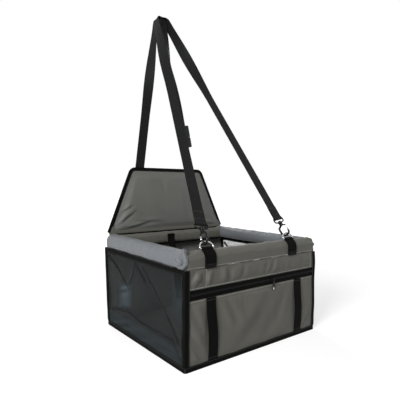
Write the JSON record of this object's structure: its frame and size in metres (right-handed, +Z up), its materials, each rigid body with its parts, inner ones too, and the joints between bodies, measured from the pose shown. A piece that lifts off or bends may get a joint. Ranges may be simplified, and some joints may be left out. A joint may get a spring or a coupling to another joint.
{
  "type": "pet booster seat",
  "caption": "Soft open-topped box seat for a small pet, with a padded tube-framed rim, mesh sides, a zipped front pocket, a folding back flap and webbing straps that hang it from a headrest.",
  "frame": {"origin": "middle of the underside of the base, on the surface that the seat stands on", "axes": "+Z up, X along the front from the left side to the right side as seen from in front, -Y out of the front pocket"},
  "size_m": [0.403, 0.4263, 0.8521],
  "materials": {
    "grey_oxford": "coated Oxford cloth, fine weave, warm mid grey",
    "blue_grey_oxford": "coated Oxford cloth, fine weave, silvery blue grey",
    "lining": "dark grey woven lining",
    "mesh": "dark see-through mesh",
    "binding": "black woven binding tape",
    "webbing": "black ribbed webbing",
    "pad_fabric": "soft padded cloth, dark grey",
    "board": "matt stiffener board",
    "frame_plastic": "plain extruded plastic",
    "black_plastic": "satin moulded plastic",
    "black_metal": "glossy black plated casting",
    "chrome": "bright nickel plating"
  },
  "bodies": {
    "seat": {"base_panel": "binding", "base_board": "board", "floor_pad": "pad_fabric", "front_panel": "lining", "pocket_panel": "grey_oxford", "header_strip": "grey_oxford", "back_panel": "grey_oxford", "left_mesh": "mesh", "right_mesh": "mesh", "front_roll": "grey_oxford", "back_band": "grey_oxford", "left_roll": "blue_grey_oxford", "right_roll": "blue_grey_oxford", "front_tube": "frame_plastic", "back_tube": "frame_plastic", "left_tube": "frame_plastic", "right_tube": "frame_plastic", "front_left_elbow": "frame_plastic", "front_right_elbow": "frame_plastic", "back_left_elbow": "frame_plastic", "back_right_elbow": "frame_plastic", "front_left_binding": "binding", "front_right_binding": "binding", "back_left_binding": "binding", "back_right_binding": "binding", "base_binding": "binding", "left_rim_binding": "binding", "right_rim_binding": "binding", "zip_tape_upper": "binding", "zip_tape_lower": "binding", "zip_teeth": "black_plastic", "pocket_web_left": "webbing", "pocket_web_right": "webbing", "left_ring_tab": "webbing", "right_ring_tab": "webbing", "front_strap": "webbing", "rear_strap": "webbing", "rear_strap_lower": "webbing", "buckle_socket": "black_plastic", "left_eye": "black_metal", "right_eye": "black_metal", "tether_web": "webbing", "tether_eye": "black_metal"},
    "flap": {"flap_pad": "grey_oxford", "flap_binding": "binding"},
    "slider": {"zip_slider": "black_metal"},
    "pull": {"zip_pull": "black_metal"},
    "left_d_ring": {"left_ring": "chrome"},
    "right_d_ring": {"right_ring": "chrome"},
    "left_snap": {"left_hook": "black_metal"},
    "left_snap_gate": {"left_gate": "chrome"},
    "right_snap": {"right_hook": "black_metal"},
    "right_snap_gate": {"right_gate": "chrome"},
    "tether_snap": {"tether_hook": "black_metal"},
    "tether_snap_gate": {"tether_gate": "chrome"},
    "plug": {"buckle_plug": "black_plastic"}
  },
  "joints": [
    {"name": "flap_fold", "type": "hinge", "parent": "seat", "child": "flap", "pos_m": [0, 0.176, 0.2335], "axis": [1, 0, 0], "range_deg": [0, 89]},
    {"name": "zip_slide", "type": "slide", "parent": "seat", "child": "slider", "axis": [1, 0, 0], "range_m": [-0.229, 0.139]},
    {"name": "pull_swing", "type": "hinge", "parent": "slider", "child": "pull", "pos_m": [0.045, -0.1842, 0.1502], "axis": [-1, 0, 0], "range_deg": [0, 160]},
    {"name": "left_ring_tilt", "type": "hinge", "parent": "seat", "child": "left_d_ring", "pos_m": [-0.139, -0.16905, 0.23666], "axis": [1, 0, 0], "range_deg": [-4, 4]},
    {"name": "right_ring_tilt", "type": "hinge", "parent": "seat", "child": "right_d_ring", "pos_m": [0.112, -0.16905, 0.23666], "axis": [1, 0, 0], "range_deg": [-3, 0]},
    {"name": "left_hook_swivel", "type": "hinge", "parent": "seat", "child": "left_snap", "pos_m": [-0.13455, -0.14597, 0.27264], "axis": [0.1584, 0.5305, 0.8327], "range_deg": [-35, 25]},
    {"name": "left_gate_open", "type": "hinge", "parent": "left_snap", "child": "left_snap_gate", "pos_m": [-0.13732, -0.14481, 0.25742], "axis": [-0.9836, 0.0113, 0.1799], "range_deg": [0, 30], "stiffness_Nm_per_rad": 0.01, "springref_deg": -11.46},
    {"name": "right_hook_swivel", "type": "hinge", "parent": "seat", "child": "right_snap", "pos_m": [0.10798, -0.14594, 0.2727], "axis": [-0.1431, 0.5318, 0.8347], "range_deg": [-85, 0]},
    {"name": "right_gate_open", "type": "hinge", "parent": "right_snap", "child": "right_snap_gate", "pos_m": [0.11653, -0.15725, 0.2664], "axis": [0.6622, 0.6782, -0.3185], "range_deg": [0, 30], "stiffness_Nm_per_rad": 0.01, "springref_deg": -11.46},
    {"name": "tether_hook_swivel", "type": "hinge", "parent": "seat", "child": "tether_snap", "pos_m": [-0.018, 0.0185, 0.0319], "axis": [0, 1, 0], "range_deg": [-8, 8]},
    {"name": "tether_gate_open", "type": "hinge", "parent": "tether_snap", "child": "tether_snap_gate", "pos_m": [-0.0088, 0.006, 0.0319], "axis": [0, 0, -1], "range_deg": [0, 30], "stiffness_Nm_per_rad": 0.01, "springref_deg": -11.46},
    {"name": "plug_slide", "type": "slide", "parent": "seat", "child": "plug", "axis": [0.1734, -0.0706, -0.9823], "range_m": [0, 0.03]}
  ]
}
